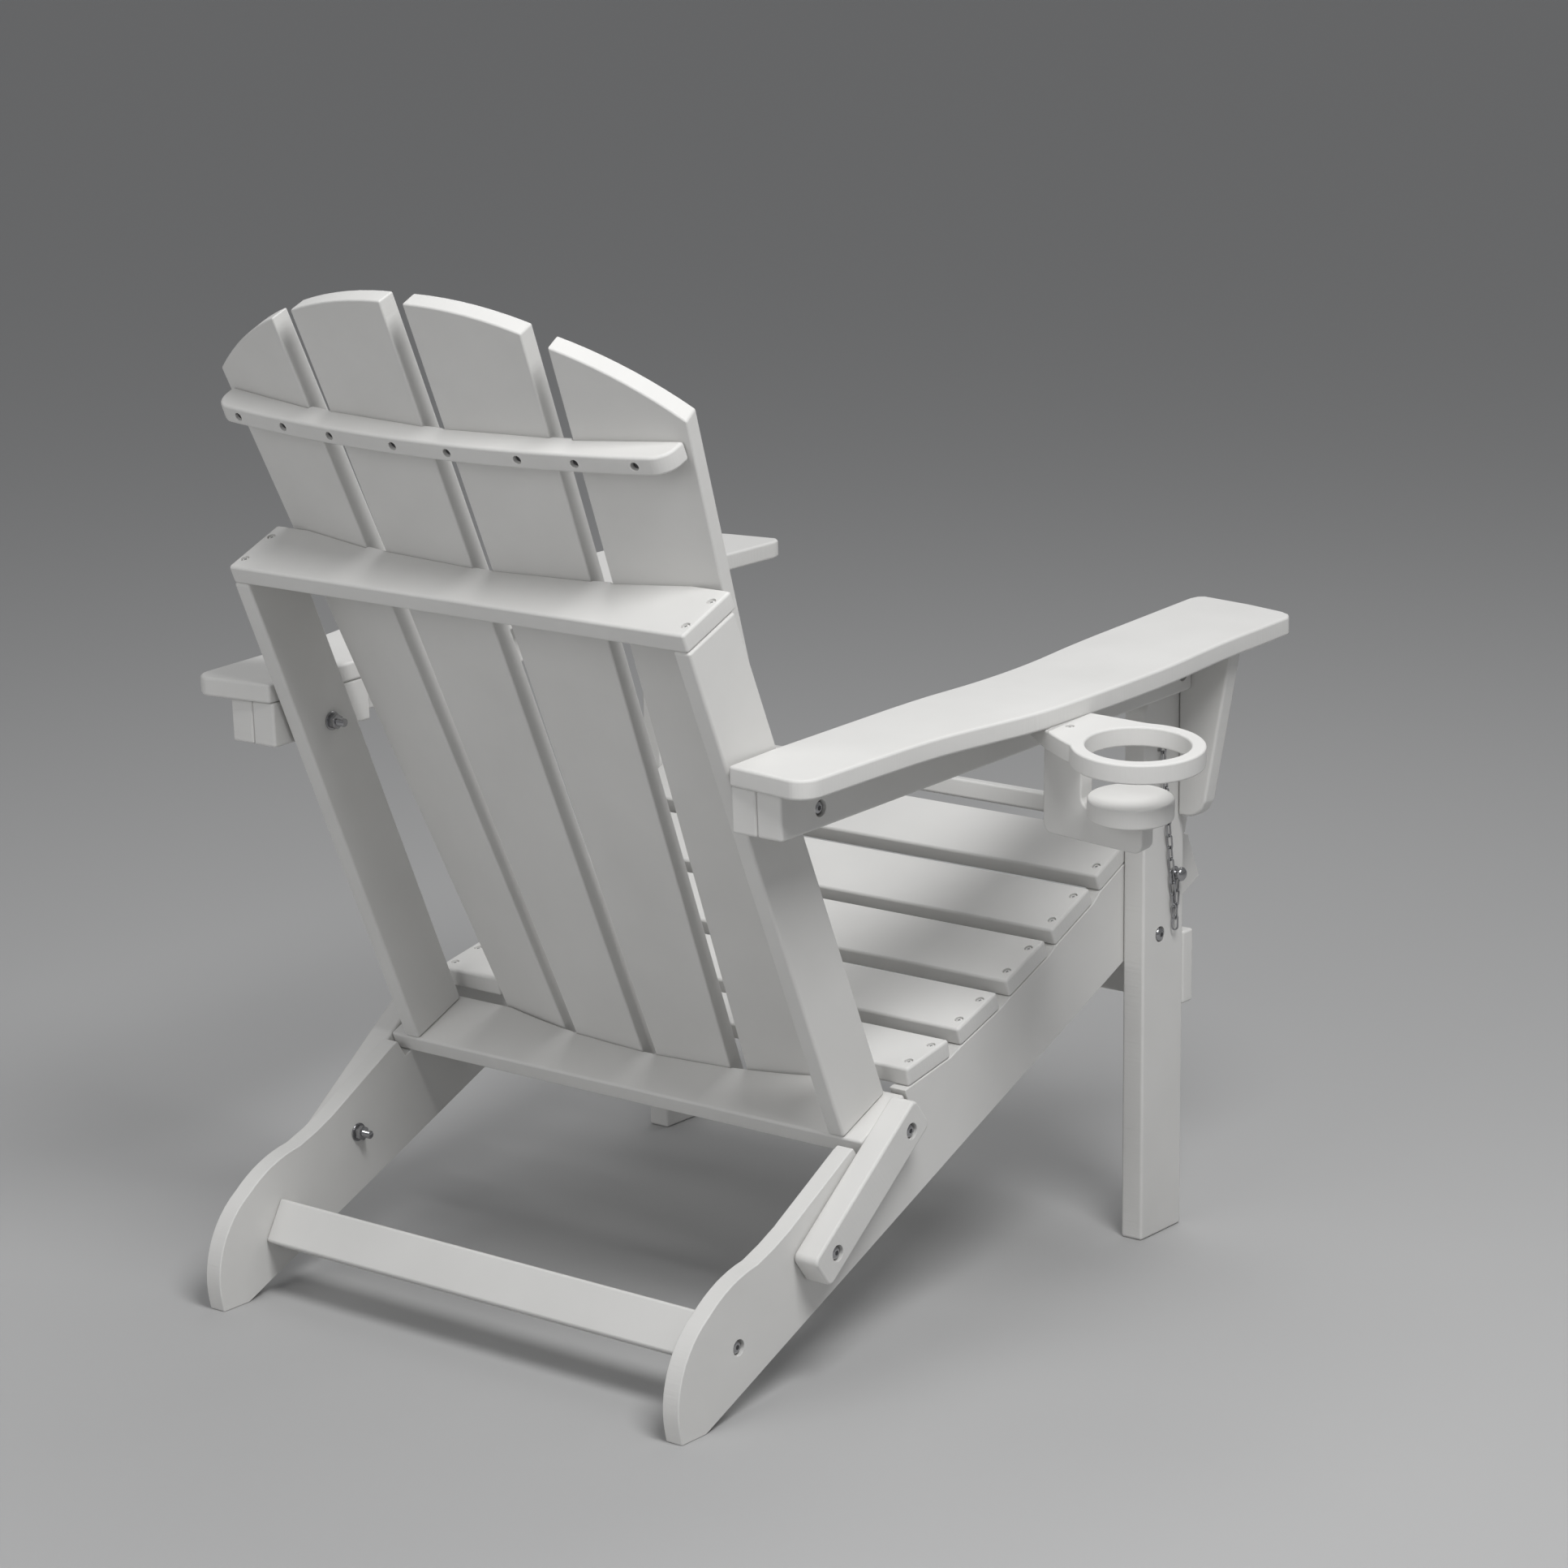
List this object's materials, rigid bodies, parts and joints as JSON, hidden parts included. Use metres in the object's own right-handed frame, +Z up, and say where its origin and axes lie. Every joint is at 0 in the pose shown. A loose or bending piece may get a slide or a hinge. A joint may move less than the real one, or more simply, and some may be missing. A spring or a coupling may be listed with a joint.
{
  "type": "adirondack chair",
  "caption": "Folding garden chair of flat plastic boards, with a fanned slatted back, sloping slatted seat, broad arms and a cup holder on one arm.",
  "frame": {"origin": "On the floor, under the middle of the whole chair including its cup holder.", "axes": "+X points to the sitter's left, +Y to the rear of the chair and +Z up."},
  "size_m": [0.9217, 0.846, 0.9625],
  "materials": {
    "board": "matte, lightly textured",
    "steel": "satin"
  },
  "bodies": {
    "seat_frame": {"side_rail_left": "board", "side_rail_right": "board", "seat_slat_1": "board", "seat_slat_2": "board", "seat_slat_3": "board", "seat_slat_4": "board", "seat_slat_5": "board", "seat_slat_6": "board", "seat_slat_screws": "steel", "rear_rung": "board", "rung_bolts": "steel", "link_lower_bolts": "steel", "link_lower_nuts": "steel", "leg_pivot_bolts": "steel", "leg_pivot_nuts": "steel"},
    "links": {"link_bar_left": "board", "link_bar_right": "board"},
    "back": {"back_upright_left": "board", "back_upright_right": "board", "back_slat_1": "board", "back_slat_2": "board", "back_slat_3": "board", "back_slat_4": "board", "back_slat_screws": "steel", "lower_cross_board": "board", "upper_cross_board": "board", "cross_board_screws": "steel", "head_rail": "board", "head_rail_screws": "steel", "link_upper_bolts": "steel"},
    "arms": {"arm_left": "board", "arm_right": "board", "arm_outer_rail_left": "board", "arm_outer_rail_right": "board", "arm_inner_block_left": "board", "arm_inner_block_right": "board", "arm_bracket_left": "board", "arm_bracket_right": "board", "arm_screws": "steel", "arm_pivot_bolts": "steel", "arm_pivot_nuts": "steel", "arm_pivot_spacers": "steel", "arm_leg_bolts": "steel", "cup_ring": "board", "cup_hanger": "board", "cup_base": "board", "cup_screws": "steel"},
    "front_legs": {"front_leg_left": "board", "front_leg_right": "board", "front_apron": "board", "apron_screws": "steel", "arm_leg_nuts": "steel", "pin_chain_left": "steel", "pin_chain_right": "steel"},
    "pin_left": {"pull_pin_left": "steel"},
    "pin_right": {"pull_pin_right": "steel"}
  },
  "joints": [
    {"name": "back_fold", "type": "hinge", "parent": "links", "child": "back", "pos_m": [0.0695, 0.115, 0.2086], "axis": [1, 0, 0], "range_deg": [0, 66]},
    {"name": "link_fold", "type": "hinge", "parent": "seat_frame", "child": "links", "pos_m": [0.0695, 0.2235, 0.1258], "axis": [1, 0, 0], "range_deg": [-24, 0]},
    {"name": "arm_fold", "type": "hinge", "parent": "back", "child": "arms", "pos_m": [0.0695, 0.2578, 0.5338], "axis": [1, 0, 0], "range_deg": [-25.9, 0]},
    {"name": "leg_fold", "type": "hinge", "parent": "seat_frame", "child": "front_legs", "pos_m": [0.0695, -0.282, 0.2986], "axis": [1, 0, 0], "range_deg": [0, 50.3]},
    {"name": "pin_left_slide", "type": "slide", "parent": "front_legs", "child": "pin_left", "axis": [1, 0, 0], "range_m": [0, 0.03]},
    {"name": "pin_right_slide", "type": "slide", "parent": "front_legs", "child": "pin_right", "axis": [-1, 0, 0], "range_m": [0, 0.03]}
  ],
  "couplings": [
    {"joint": "link_fold", "follows": "back_fold", "ratio": -0.3636},
    {"joint": "arm_fold", "follows": "back_fold", "ratio": -0.392},
    {"joint": "leg_fold", "follows": "back_fold", "ratio": 0.7624}
  ]
}
